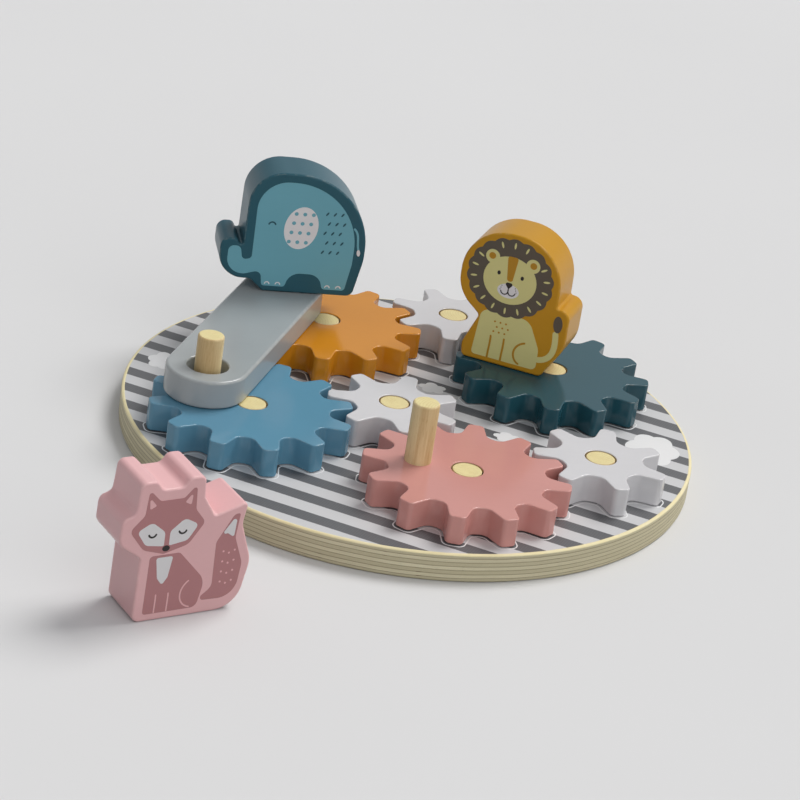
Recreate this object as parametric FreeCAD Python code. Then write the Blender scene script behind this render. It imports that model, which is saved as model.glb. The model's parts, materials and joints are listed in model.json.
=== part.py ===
"""Wooden crank gear toy: seven toothed discs on a round plywood board, three peg-on animals.

Frame: millimetres, +Z up, origin at the centre of the board's underside.
X runs to the right and Y away from the player who sits in front of the board.
"""
import FreeCAD, Part
import math
import os

from FreeCAD import Placement, Rotation, Vector

# Board
BOARD_DIAMETER = 240.0
BOARD_THICKNESS = 12.0
BOARD_EDGE_CHAMFER = 1.4

# Flat wooden faces that lie on each other keep this much air between them
SEAT_GAP = 0.2

# Toothed discs: both sizes share one module, so that any large one meshes with any small one
GEAR_MODULE = 6.42
LARGE_TEETH = 12
SMALL_TEETH = 7
GEAR_THICKNESS = 12.0
LARGE_ADDENDUM = 3.5
SMALL_ADDENDUM = 5.3
ROOT_CLEARANCE = 1.1
TOOTH_TIP_WIDTH = 6.4
LARGE_TOOTH_BASE = 10.8
SMALL_TOOTH_BASE = 9.4
TOOTH_TIP_ROUND = 2.2
LARGE_ROOT_ROUND = 4.0
SMALL_ROOT_ROUND = 4.8
GEAR_RIM_CHAMFER = 0.6

# Fixed spindles, glued into the board
SPINDLE_DIAMETER = 12.0
SPINDLE_SOCKET_DEPTH = 9.0
SPINDLE_RADIAL_PLAY = 0.5
SPINDLE_SHORTFALL = 0.2
SPINDLE_TOP_CHAMFER = 0.6

# Pegs, each with a turned tenon that is glued into a large toothed disc
PEG_DIAMETER = 10.8
PEG_OFFSET = 20.0
PEG_HEIGHT = 25.5
PEG_TENON_DIAMETER = 8.0
PEG_TENON_LENGTH = 8.0
PEG_TOP_CHAMFER = 1.0
CRANK_PEG_BEARING = 170.0
LINK_PEG_BEARING = 165.0

# Coupling arm, dropped over two pegs
ARM_LENGTH = 97.6
ARM_BEARING = 71.3
ARM_WIDTH = 34.0
ARM_THICKNESS = 12.0
ARM_HOLE_DIAMETER = 17.0
ARM_EDGE_CHAMFER = 1.0

# Where the two trains lie on the board
CRANK_GEAR_X = 18.9
CRANK_GEAR_Y = -70.0
CRANK_GEAR_PHASE = 21.5
BEARING_TO_RIGHT_GEAR = 23.2
BEARING_TO_CENTRE_GEAR = 116.3
BEARING_TO_BLUE_GEAR = 195.1
ORANGE_GEAR_PHASE = 27.5
BEARING_TO_BACK_GEAR = 19.8
BEARING_TO_TEAL_GEAR = -48.2

# Animals
ANIMAL_THICKNESS = 21.0
ANIMAL_EDGE_CHAMFER = 0.9
ANIMAL_HOLE_DIAMETER = 12.0
ANIMAL_HOLE_DEPTH = 28.0
ELEPHANT_HOLE_AT = 12.3
LION_HOLE_AT = 18.0
FOX_HOLE_AT = 16.0
ELEPHANT_TURN = 6.8
LION_TURN = -22.4
FOX_TURN = 28.0
FOX_X = -94.6
FOX_Y = -157.5

# Side views of the animals. Each corner is (along the base from its left end, up, corner radius)
ELEPHANT_CORNERS = [
    (1.0, 0.0, 2.0), (-5.0, 5.2, 4.0), (-19.2, 5.0, 11.0), (-19.2, 23.5, 4.0),
    (-12.4, 23.5, 2.6), (-9.6, 17.5, 1.0), (-9.2, 54.5, 15.0), (43.3, 54.5, 33.0),
    (43.3, 17.0, 25.0), (40.2, 0.0, 3.5),
]
LION_CORNERS = [
    (0.0, 0.0, 2.0), (-0.8, 6.0, 8.0), (5.0, 20.3, 2.0), (-6.0, 29.0, 16.0),
    (-6.0, 60.0, 20.5), (38.0, 60.0, 20.5), (38.3, 32.2, 1.2), (44.4, 32.2, 4.5),
    (44.4, 15.0, 14.0), (35.8, 0.0, 3.0),
]
FOX_CORNERS = [
    (-2.8, 0.0, 3.0), (-2.2, 26.5, 2.0), (-11.2, 33.0, 5.0), (-10.8, 43.0, 3.2),
    (-5.8, 44.8, 2.5), (-4.6, 57.3, 2.6), (1.6, 57.3, 2.6), (4.2, 53.6, 3.0),
    (12.3, 53.6, 3.0), (14.8, 57.2, 2.6), (21.0, 57.2, 2.8), (21.4, 48.5, 3.0),
    (26.4, 40.2, 1.5), (39.8, 44.4, 1.6), (38.2, 35.0, 8.0), (43.4, 19.5, 12.0),
    (39.5, 0.0, 11.0),
]

# Levels, from the table up
GEAR_BOTTOM = BOARD_THICKNESS + SEAT_GAP
GEAR_TOP = GEAR_BOTTOM + GEAR_THICKNESS
ARM_BOTTOM = GEAR_TOP + SEAT_GAP
ARM_TOP = ARM_BOTTOM + ARM_THICKNESS
ON_GEAR = GEAR_TOP + SEAT_GAP
ON_ARM = ARM_TOP + SEAT_GAP

# Radii that follow from the module and the two addenda
CENTRE_DISTANCE = GEAR_MODULE * (LARGE_TEETH + SMALL_TEETH) / 2
LARGE_TIP_RADIUS = GEAR_MODULE * LARGE_TEETH / 2 + LARGE_ADDENDUM
SMALL_TIP_RADIUS = GEAR_MODULE * SMALL_TEETH / 2 + SMALL_ADDENDUM
LARGE_ROOT_RADIUS = CENTRE_DISTANCE - SMALL_TIP_RADIUS - ROOT_CLEARANCE
SMALL_ROOT_RADIUS = CENTRE_DISTANCE - LARGE_TIP_RADIUS - ROOT_CLEARANCE
GEAR_BORE_DIAMETER = SPINDLE_DIAMETER + 2 * SPINDLE_RADIAL_PLAY


def polar(radius, degrees):
    """The point at a bearing, counted anticlockwise from +X."""
    angle = math.radians(degrees)
    return Vector(radius * math.cos(angle), radius * math.sin(angle), 0)


def meshed_phase(driver_phase, driver_teeth, bearing, driven_teeth):
    """Bearing of a tooth of the driven disc whose gap faces the driver's tooth."""
    gap = bearing + 180 - (driver_phase - bearing) * driver_teeth / driven_teeth
    return gap + 180 / driven_teeth


# The crank train: crank disc, two small discs beside it, and the blue disc past the middle one
CRANK_GEAR_AT = Vector(CRANK_GEAR_X, CRANK_GEAR_Y, 0)
RIGHT_GEAR_AT = CRANK_GEAR_AT + polar(CENTRE_DISTANCE, BEARING_TO_RIGHT_GEAR)
CENTRE_GEAR_AT = CRANK_GEAR_AT + polar(CENTRE_DISTANCE, BEARING_TO_CENTRE_GEAR)
BLUE_GEAR_AT = CENTRE_GEAR_AT + polar(CENTRE_DISTANCE, BEARING_TO_BLUE_GEAR)

# The far train, which the arm drives
ORANGE_GEAR_AT = BLUE_GEAR_AT + polar(ARM_LENGTH, ARM_BEARING)
BACK_GEAR_AT = ORANGE_GEAR_AT + polar(CENTRE_DISTANCE, BEARING_TO_BACK_GEAR)
TEAL_GEAR_AT = BACK_GEAR_AT + polar(CENTRE_DISTANCE, BEARING_TO_TEAL_GEAR)

RIGHT_GEAR_PHASE = meshed_phase(CRANK_GEAR_PHASE, LARGE_TEETH, BEARING_TO_RIGHT_GEAR, SMALL_TEETH)
CENTRE_GEAR_PHASE = meshed_phase(CRANK_GEAR_PHASE, LARGE_TEETH, BEARING_TO_CENTRE_GEAR, SMALL_TEETH)
BLUE_GEAR_PHASE = meshed_phase(CENTRE_GEAR_PHASE, SMALL_TEETH, BEARING_TO_BLUE_GEAR, LARGE_TEETH)
BACK_GEAR_PHASE = meshed_phase(ORANGE_GEAR_PHASE, LARGE_TEETH, BEARING_TO_BACK_GEAR, SMALL_TEETH)
TEAL_GEAR_PHASE = meshed_phase(BACK_GEAR_PHASE, SMALL_TEETH, BEARING_TO_TEAL_GEAR, LARGE_TEETH)

CRANK_PEG_AT = CRANK_GEAR_AT + polar(PEG_OFFSET, CRANK_PEG_BEARING)
BLUE_PEG_AT = BLUE_GEAR_AT + polar(PEG_OFFSET, LINK_PEG_BEARING)
ORANGE_PEG_AT = ORANGE_GEAR_AT + polar(PEG_OFFSET, LINK_PEG_BEARING)
TEAL_PEG_AT = TEAL_GEAR_AT + polar(PEG_OFFSET, LINK_PEG_BEARING)


def rounded_face(corners):
    """A flat face in XY inside a polygon whose corners (x, y, radius) are tangent arcs."""
    starts, middles, ends = [], [], []
    for index, (x, y, radius) in enumerate(corners):
        corner = Vector(x, y, 0)
        before = Vector(*corners[index - 1][:2], 0) - corner
        after = Vector(*corners[(index + 1) % len(corners)][:2], 0) - corner
        half_angle = before.getAngle(after) / 2
        before.normalize()
        after.normalize()
        reach = radius / math.tan(half_angle)
        inward = (before + after).normalize()
        starts.append(corner + before * reach)
        ends.append(corner + after * reach)
        middles.append(corner + inward * (radius / math.sin(half_angle) - radius))
    edges = []
    for index in range(len(corners)):
        arc = Part.Arc(starts[index], middles[index], ends[index])
        edges.append(arc.toShape())
        next_start = starts[(index + 1) % len(corners)]
        if ends[index].distanceToPoint(next_start) > 1e-6:
            edges.append(Part.LineSegment(ends[index], next_start).toShape())
    return Part.Face(Part.Wire(edges))


def level_edges(solid, level):
    """The edges of a solid that lie flat at the given level."""
    box_limits = [(edge, edge.BoundBox.ZMin, edge.BoundBox.ZMax) for edge in solid.Edges]
    return [edge for edge, low, high in box_limits if max(abs(low - level), abs(high - level)) < 1e-6]


def plate(face, thickness, edge_chamfer, both_rims=True):
    """A flat plate of the face's outline, its top rim eased, and its bottom rim too if asked."""
    solid = face.extrude(Vector(0, 0, thickness))
    rims = level_edges(solid, thickness)
    if both_rims:
        rims += level_edges(solid, 0)
    return solid.makeChamfer(edge_chamfer, rims)


def upright_hole(solid, diameter, place, bottom, depth):
    """The solid with a round hole cut upwards from the given level."""
    return solid.cut(Part.makeCylinder(diameter / 2, depth, place + Vector(0, 0, bottom)))


def gear(teeth, tip_radius, root_radius, tooth_base, root_round, place, phase):
    """A toothed disc that turns freely on its spindle. One tooth points along the phase."""
    tip_half_angle = math.degrees(math.asin(TOOTH_TIP_WIDTH / 2 / tip_radius))
    base_half_angle = math.degrees(math.asin(tooth_base / 2 / root_radius))
    corners = []
    for tooth in range(teeth):
        middle = phase + 360 * tooth / teeth
        for radius, bearing, corner_round in (
            (root_radius, middle - base_half_angle, root_round),
            (tip_radius, middle - tip_half_angle, TOOTH_TIP_ROUND),
            (tip_radius, middle + tip_half_angle, TOOTH_TIP_ROUND),
            (root_radius, middle + base_half_angle, root_round),
        ):
            point = polar(radius, bearing)
            corners.append((point.x, point.y, corner_round))
    disc = plate(rounded_face(corners), GEAR_THICKNESS, GEAR_RIM_CHAMFER, both_rims=False)
    disc.translate(place + Vector(0, 0, GEAR_BOTTOM))
    return upright_hole(disc, GEAR_BORE_DIAMETER, place, GEAR_BOTTOM, GEAR_THICKNESS)


def large_gear(place, phase, peg_at):
    """A large disc, with the blind socket that its peg is glued into."""
    disc = gear(LARGE_TEETH, LARGE_TIP_RADIUS, LARGE_ROOT_RADIUS, LARGE_TOOTH_BASE,
                LARGE_ROOT_ROUND, place, phase)
    socket_floor = GEAR_TOP - PEG_TENON_LENGTH
    return upright_hole(disc, PEG_TENON_DIAMETER, peg_at, socket_floor, PEG_TENON_LENGTH)


def small_gear(place, phase):
    """A small disc, which only passes the motion on."""
    return gear(SMALL_TEETH, SMALL_TIP_RADIUS, SMALL_ROOT_RADIUS, SMALL_TOOTH_BASE,
                SMALL_ROOT_ROUND, place, phase)


def board(spindle_places):
    """The round base, with a blind socket for each spindle."""
    solid = Part.makeCylinder(BOARD_DIAMETER / 2, BOARD_THICKNESS)
    rims = level_edges(solid, 0) + level_edges(solid, BOARD_THICKNESS)
    solid = solid.makeChamfer(BOARD_EDGE_CHAMFER, rims)
    socket_floor = BOARD_THICKNESS - SPINDLE_SOCKET_DEPTH
    for place in spindle_places:
        solid = upright_hole(solid, SPINDLE_DIAMETER, place, socket_floor, SPINDLE_SOCKET_DEPTH)
    return solid


def spindle(place):
    """A dowel from the floor of its socket to just under the disc's top face."""
    bottom = BOARD_THICKNESS - SPINDLE_SOCKET_DEPTH
    top = GEAR_TOP - SPINDLE_SHORTFALL
    dowel = Part.makeCylinder(SPINDLE_DIAMETER / 2, top - bottom, place + Vector(0, 0, bottom))
    return dowel.makeChamfer(SPINDLE_TOP_CHAMFER, level_edges(dowel, top))


def peg(place):
    """A dowel that stands on a large disc, as the crank handle, the arm's pin or a perch."""
    dowel = Part.makeCylinder(PEG_DIAMETER / 2, PEG_HEIGHT, place + Vector(0, 0, GEAR_TOP))
    dowel = dowel.makeChamfer(PEG_TOP_CHAMFER, level_edges(dowel, GEAR_TOP + PEG_HEIGHT))
    tenon_foot = place + Vector(0, 0, GEAR_TOP - PEG_TENON_LENGTH)
    return dowel.fuse(Part.makeCylinder(PEG_TENON_DIAMETER / 2, PEG_TENON_LENGTH, tenon_foot))


def coupling_arm():
    """A full-round bar from the blue disc's peg to the orange disc's peg."""
    half = ARM_WIDTH / 2
    left = Vector(0, half, 0)
    right = Vector(0, -half, 0)
    along = Vector(ARM_LENGTH, 0, 0)
    edges = [
        Part.LineSegment(right, right + along).toShape(),
        Part.Arc(right + along, along + Vector(half, 0, 0), left + along).toShape(),
        Part.LineSegment(left + along, left).toShape(),
        Part.Arc(left, Vector(-half, 0, 0), right).toShape(),
    ]
    bar = plate(Part.Face(Part.Wire(edges)), ARM_THICKNESS, ARM_EDGE_CHAMFER)
    for hole_at in (Vector(), along):
        bar = upright_hole(bar, ARM_HOLE_DIAMETER, hole_at, 0, ARM_THICKNESS)
    bar.Placement = Placement(BLUE_PEG_AT + Vector(0, 0, ARM_BOTTOM), Rotation(ARM_BEARING, 0, 0))
    return bar


def animal(corners, hole_at, place, floor, turn):
    """A thick cut-out figure, turned about the blind peg hole in its base."""
    figure = plate(rounded_face(corners), ANIMAL_THICKNESS, ANIMAL_EDGE_CHAMFER)
    figure.rotate(Vector(), Vector(1, 0, 0), 90)
    figure.translate(Vector(-hole_at, ANIMAL_THICKNESS / 2, 0))
    figure = upright_hole(figure, ANIMAL_HOLE_DIAMETER, Vector(), 0, ANIMAL_HOLE_DEPTH)
    figure.Placement = Placement(place + Vector(0, 0, floor), Rotation(turn, 0, 0))
    return figure


def build():
    """Every node of the toy by name."""
    nodes = {
        "crank_gear_pink": large_gear(CRANK_GEAR_AT, CRANK_GEAR_PHASE, CRANK_PEG_AT),
        "gear_blue": large_gear(BLUE_GEAR_AT, BLUE_GEAR_PHASE, BLUE_PEG_AT),
        "gear_orange": large_gear(ORANGE_GEAR_AT, ORANGE_GEAR_PHASE, ORANGE_PEG_AT),
        "gear_teal": large_gear(TEAL_GEAR_AT, TEAL_GEAR_PHASE, TEAL_PEG_AT),
        "gear_white_right": small_gear(RIGHT_GEAR_AT, RIGHT_GEAR_PHASE),
        "gear_white_centre": small_gear(CENTRE_GEAR_AT, CENTRE_GEAR_PHASE),
        "gear_white_back": small_gear(BACK_GEAR_AT, BACK_GEAR_PHASE),
        "crank_peg": peg(CRANK_PEG_AT),
        "peg_blue_gear": peg(BLUE_PEG_AT),
        "peg_orange_gear": peg(ORANGE_PEG_AT),
        "peg_teal_gear": peg(TEAL_PEG_AT),
        "coupling_arm": coupling_arm(),
        "elephant": animal(ELEPHANT_CORNERS, ELEPHANT_HOLE_AT, ORANGE_PEG_AT, ON_ARM, ELEPHANT_TURN),
        "lion": animal(LION_CORNERS, LION_HOLE_AT, TEAL_PEG_AT, ON_GEAR, LION_TURN),
        "fox": animal(FOX_CORNERS, FOX_HOLE_AT, Vector(FOX_X, FOX_Y, 0), 0, FOX_TURN),
    }
    spindles = {
        "spindle_crank_gear": CRANK_GEAR_AT,
        "spindle_blue_gear": BLUE_GEAR_AT,
        "spindle_orange_gear": ORANGE_GEAR_AT,
        "spindle_teal_gear": TEAL_GEAR_AT,
        "spindle_white_right": RIGHT_GEAR_AT,
        "spindle_white_centre": CENTRE_GEAR_AT,
        "spindle_white_back": BACK_GEAR_AT,
    }
    for name, place in spindles.items():
        nodes[name] = spindle(place)
    nodes["base_board"] = board(spindles.values())
    return nodes


os.makedirs("parts", exist_ok=True)
for node_name, node_shape in build().items():
    node_shape.exportStep(f"parts/{node_name}.step")
    print(node_name, node_shape.isValid(), len(node_shape.Solids), round(node_shape.Volume))
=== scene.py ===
"""The looks of a wooden crank gear toy: painted toothed discs, bare dowels and printed figures.

Laid out as an add-on. Lengths in the outlines are millimetres, and MM turns them into metres.
"""

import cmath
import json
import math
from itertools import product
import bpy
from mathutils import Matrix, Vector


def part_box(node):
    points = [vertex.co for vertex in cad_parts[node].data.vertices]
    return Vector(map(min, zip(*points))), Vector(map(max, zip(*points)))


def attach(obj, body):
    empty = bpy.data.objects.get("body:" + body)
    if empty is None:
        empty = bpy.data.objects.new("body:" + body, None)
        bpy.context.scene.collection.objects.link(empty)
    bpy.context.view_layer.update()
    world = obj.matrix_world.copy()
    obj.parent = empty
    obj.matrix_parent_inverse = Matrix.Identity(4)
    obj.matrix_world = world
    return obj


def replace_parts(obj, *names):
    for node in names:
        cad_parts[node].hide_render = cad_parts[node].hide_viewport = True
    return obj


bl_info = {
    "name": "Wooden Crank Gear Toy",
    "version": (1, 0, 0),
    "blender": (4, 5, 0),
    "location": "3D View > Sidebar > Gear Toy",
    "description": "Builds a wooden board with painted toothed discs, a coupling arm and animals",
    "category": "Add Mesh",
}

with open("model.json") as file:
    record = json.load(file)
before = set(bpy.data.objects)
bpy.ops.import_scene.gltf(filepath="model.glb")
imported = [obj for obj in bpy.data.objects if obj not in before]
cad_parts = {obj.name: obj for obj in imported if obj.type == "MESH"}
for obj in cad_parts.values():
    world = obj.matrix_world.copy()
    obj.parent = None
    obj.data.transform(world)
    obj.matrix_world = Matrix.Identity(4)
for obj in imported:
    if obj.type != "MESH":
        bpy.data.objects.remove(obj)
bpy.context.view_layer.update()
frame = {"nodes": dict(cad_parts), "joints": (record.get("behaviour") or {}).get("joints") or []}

import bpy
from bpy.props import FloatProperty, FloatVectorProperty, IntProperty, PointerProperty
from mathutils import Matrix, Vector
from mathutils.geometry import tessellate_polygon

MM = 0.001
UP = Vector((0, 0, 1))
RIGHT_ANGLE = math.pi / 2

# Level faces and outlines --------------------

BOARD_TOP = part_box("base_board")[1].z
GEAR_BOTTOM, GEAR_TOP = (corner.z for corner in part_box("crank_gear_pink"))
ARM_BOTTOM, ARM_TOP = (corner.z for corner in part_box("coupling_arm"))

# Toothed discs: node, stem of the names of its body and joint, paint and size
DISCS = (
    ("crank_gear_pink", "crank", "pink", "large"),
    ("gear_blue", "blue", "blue", "large"),
    ("gear_orange", "orange", "orange", "large"),
    ("gear_teal", "teal", "teal", "large"),
    ("gear_white_right", "white_right", "white", "small"),
    ("gear_white_centre", "white_centre", "white", "small"),
    ("gear_white_back", "white_back", "white", "small"),
)
SPINDLES = (
    "spindle_crank_gear", "spindle_blue_gear", "spindle_orange_gear", "spindle_teal_gear",
    "spindle_white_right", "spindle_white_centre", "spindle_white_back",
)
PEGS = {
    "crank_peg": "crank_disc",
    "peg_blue_gear": "blue_disc",
    "peg_orange_gear": "orange_disc",
    "peg_teal_gear": "teal_disc",
}
TENON = 2 * MM  # how far a peg goes down into its disc
GUIDE_INK = 0.05 * MM  # how far the board's white ink stands up, and goes down
PRINT_RANK = 0.03 * MM  # what each rank of a figure's print adds
PRINT_FOOT = 0.1 * MM  # how deep a print goes into the figure
# Turn of one straight piece of a rounded corner: of prints, of figures and of teeth
PRINT_ARC, FIGURE_ARC, TOOTH_ARC = (math.radians(degrees) for degrees in (5, 4, 12))

# Side views of the figures: (along the base from its left end, up, corner radius)
ELEPHANT = [
    (1.0, 0.0, 2.0), (-5.0, 5.2, 4.0), (-19.2, 5.0, 11.0), (-19.2, 23.5, 4.0),
    (-12.4, 23.5, 2.6), (-9.6, 17.5, 1.0), (-9.2, 54.5, 15.0), (43.3, 54.5, 33.0),
    (43.3, 17.0, 25.0), (40.2, 0.0, 3.5),
]
LION = [
    (0.0, 0.0, 2.0), (-0.8, 6.0, 8.0), (5.0, 20.3, 2.0), (-6.0, 29.0, 16.0),
    (-6.0, 60.0, 20.5), (38.0, 60.0, 20.5), (38.3, 32.2, 1.2), (44.4, 32.2, 4.5),
    (44.4, 15.0, 14.0), (35.8, 0.0, 3.0),
]
FOX = [
    (-2.8, 0.0, 3.0), (-2.2, 26.5, 2.0), (-11.2, 33.0, 5.0), (-10.8, 43.0, 3.2),
    (-5.8, 44.8, 2.5), (-4.6, 57.3, 2.6), (1.6, 57.3, 2.6), (4.2, 53.6, 3.0),
    (12.3, 53.6, 3.0), (14.8, 57.2, 2.6), (21.0, 57.2, 2.8), (21.4, 48.5, 3.0),
    (26.4, 40.2, 1.5), (39.8, 44.4, 1.6), (38.2, 35.0, 8.0), (43.4, 19.5, 12.0),
    (39.5, 0.0, 11.0),
]

# Their prints, in the same way
ELEPHANT_PRINT = [
    (0.2, 2.6, 1.4), (-0.7, 9.6, 2.5), (-8.0, 7.4, 5.0), (-15.7, 8.2, 7.0), (-15.7, 20.2, 2.5),
    (-10.5, 20.2, 2.4), (-9.3, 13.9, 1.8), (-5.3, 14.9, 1.8), (-5.6, 50.6, 13.0),
    (38.6, 50.6, 29.0), (38.3, 15.0, 12.0), (36.4, 2.6, 1.6), (26.6, 2.6, 1.6),
    (25.0, 9.2, 6.0), (12.0, 9.2, 6.0), (10.2, 2.6, 1.4),
]
LION_SEAT = [
    (4.2, 2.4, 1.6), (6.0, 24.0, 4.0), (27.5, 24.0, 6.0), (33.4, 12.0, 6.0), (33.6, 2.4, 2.4),
]
LION_BLAZE = [(13.6, 50.2, 1.0), (18.4, 50.2, 1.0), (17.2, 39.0, 1.2), (14.8, 39.0, 1.2)]
LION_NOSE = [(13.7, 38.4, 0.8), (18.3, 38.4, 0.8), (16.0, 35.4, 0.7)]
FOX_HEAD = [
    (-7.6, 38.4, 2.4), (-2.2, 44.0, 3.0), (-1.3, 54.2, 0.9), (3.4, 49.3, 2.0),
    (12.8, 49.3, 2.0), (17.4, 54.2, 0.9), (18.0, 44.0, 3.0), (22.4, 38.4, 2.4),
    (16.5, 30.0, 5.0), (6.8, 27.4, 2.0), (-1.5, 30.0, 5.0),
]
FOX_TORSO = [
    (1.0, 3.0, 1.2), (1.6, 27.0, 1.5), (13.6, 27.0, 2.0), (25.0, 14.0, 7.0), (22.6, 3.0, 3.0),
]
FOX_TAIL = [
    (22.0, 5.6, 1.2), (28.2, 10.5, 4.0), (27.9, 29.0, 4.0), (34.6, 40.4, 2.4),
    (36.6, 39.6, 0.9), (35.6, 30.0, 5.0), (39.6, 19.0, 7.0), (38.0, 5.0, 7.5),
]
FOX_TIP = [(28.6, 30.2, 0.7), (35.6, 39.9, 0.9), (34.9, 30.2, 0.6), (32.0, 32.4, 0.8)]
FOX_BIB = [
    (4.2, 26.0, 0.9), (11.0, 26.0, 0.9), (9.6, 17.5, 0.8), (7.6, 14.4, 0.8), (5.4, 17.5, 0.8),
]
# Seen from the middle of the fox's face outwards
FOX_FACE = 7.6
FOX_CHEEK = [
    (1.0, 30.6, 0.6), (1.0, 36.4, 2.6), (6.5, 41.0, 2.6), (12.2, 37.8, 1.6), (8.4, 31.8, 3.0),
]
FOX_INNER_EAR = [(8.2, 46.2, 0.5), (8.6, 51.2, 0.5), (5.6, 47.6, 0.5)]

# White clouds printed between the discs: name, middle, half sizes, lobes, swell and tilt
CLOUDS = (
    ("cloud_right", (103.0, -8.0), 12.6, 9.4, 6, 2.2, 80),
    ("cloud_middle", (11.5, 28.5), 4.6, 3.6, 5, 1.6, -20),
    ("cloud_left", (-103.5, 25.5), 7.2, 5.4, 6, 1.6, 70),
    ("cloud_small", (41.0, -12.0), 4.6, 3.4, 5, 1.4, -20),
)


def joint_place(name):
    """Where a joint's axis stands on the board."""
    found = next(joint for joint in frame["joints"] if joint["name"] == name)
    return Vector(found["pos_m"]).to_2d()


def box_middle(node):
    """Middle of a piece of the frame, seen from above."""
    low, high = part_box(node)
    return ((low + high) / 2).to_2d()


def ray(angle):
    """A direction, as a vector of length 1."""
    return Vector((math.cos(angle), math.sin(angle)))


def signed_area(points):
    """Area of a closed outline, above zero where it runs anticlockwise."""
    pairs = zip(points, points[1:] + points[:1])
    return sum(a[0] * b[1] - b[0] * a[1] for a, b in pairs) / 2


def rounded(corners, step=PRINT_ARC):
    """Points and outward normals along a polygon (x, y, radius) whose corners are arcs."""
    way = 1 if signed_area([corner[:2] for corner in corners]) > 0 else -1
    outline = []
    for index, (x, y, radius) in enumerate(corners):
        corner = Vector((x, y))
        before = Vector(corners[index - 1][:2]) - corner
        after = Vector(corners[(index + 1) % len(corners)][:2]) - corner
        half_angle = before.angle(after) / 2
        reach = radius / math.tan(half_angle)
        if reach > min(before.length, after.length):
            raise ValueError(f"corner {index} at {x}, {y} is too round for its sides")
        before.normalize()
        after.normalize()
        centre = corner + (before + after).normalized() * radius / math.sin(half_angle)
        start = corner + before * reach - centre
        end = corner + after * reach - centre
        first = math.atan2(start.y, start.x)
        sweep = math.remainder(math.atan2(end.y, end.x) - first, math.tau)
        side = 1 if sweep * way > 0 else -1
        steps = max(2, math.ceil(abs(sweep) / step))
        for number in range(steps + 1):
            out = ray(first + sweep * number / steps)
            outline.append((centre + out * radius, out * side))
    return outline if way > 0 else outline[::-1]


def ring(centre, radius, steps=64, inside=False):
    """A round outline; one that bounds a hole runs the other way, with normals to its middle."""
    rays = [ray(math.tau * number / steps) for number in range(steps)]
    outline = [(Vector(centre) + out * radius, -out if inside else out) for out in rays]
    return outline[::-1] if inside else outline


def patch(corners):
    """Points of a printed patch: a polygon (x, y, radius) whose corners are arcs."""
    return [point for point, _ in rounded(corners)]


def dot(centre, radius, steps):
    """Points round a printed dot."""
    return [point for point, _ in ring(centre, radius, steps)]


def oval(centre, wide, high, tilt=0, steps=40):
    """Points round an oval, tilted by degrees."""
    turn = Matrix.Rotation(math.radians(tilt), 2)
    rays = [ray(math.tau * number / steps) for number in range(steps)]
    return [Vector(centre) + turn @ Vector((wide / 2 * out.x, high / 2 * out.y)) for out in rays]


def lobed(centre, wide, high, lobes, swell, tilt=0, steps=10):
    """Points round a scalloped patch, such as a cloud or a mane, tilted by degrees."""
    turn = Matrix.Rotation(math.radians(tilt), 2)
    points = []
    for number in range(lobes * steps):
        angle = math.tau * number / (lobes * steps)
        more = swell * abs(math.sin(angle * lobes / 2))
        point = Vector(((wide + more) * math.cos(angle), (high + more) * math.sin(angle)))
        points.append(Vector(centre) + turn @ point)
    return points


def stroke(points, width):
    """Points round a round-ended line of even width along a smooth run of points."""
    points = [Vector(point) for point in points]
    left, right = [], []
    for index, point in enumerate(points):
        ahead = points[min(index + 1, len(points) - 1)] - points[max(index - 1, 0)]
        side = Vector((-ahead.y, ahead.x)).normalized() * width / 2
        left.append(point + side)
        right.append(point - side)
    outline = list(right)
    for tip, start, onward in ((points[-1], right[-1], left[::-1]), (points[0], left[0], [])):
        for number in range(1, 6):
            outline.append(tip + Matrix.Rotation(math.pi * number / 6, 2) @ (start - tip))
        outline += onward
    return outline


def bow(centre, radius, first, last, steps=12):
    """Points along part of a circle, for a stroke. Angles are in degrees."""
    angles = [math.radians(first + (last - first) * k / steps) for k in range(steps + 1)]
    return [Vector(centre) + ray(angle) * radius for angle in angles]


def curve(*handles, steps=14):
    """Points along a cubic curve, for a stroke."""
    points = []
    for k in range(steps + 1):
        t = k / steps
        weights = ((1 - t) ** 3, 3 * t * (1 - t) ** 2, 3 * t * t * (1 - t), t ** 3)
        points.append(sum((Vector(h) * w for h, w in zip(handles, weights)), Vector((0, 0))))
    return points


# Meshes --------------------


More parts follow.
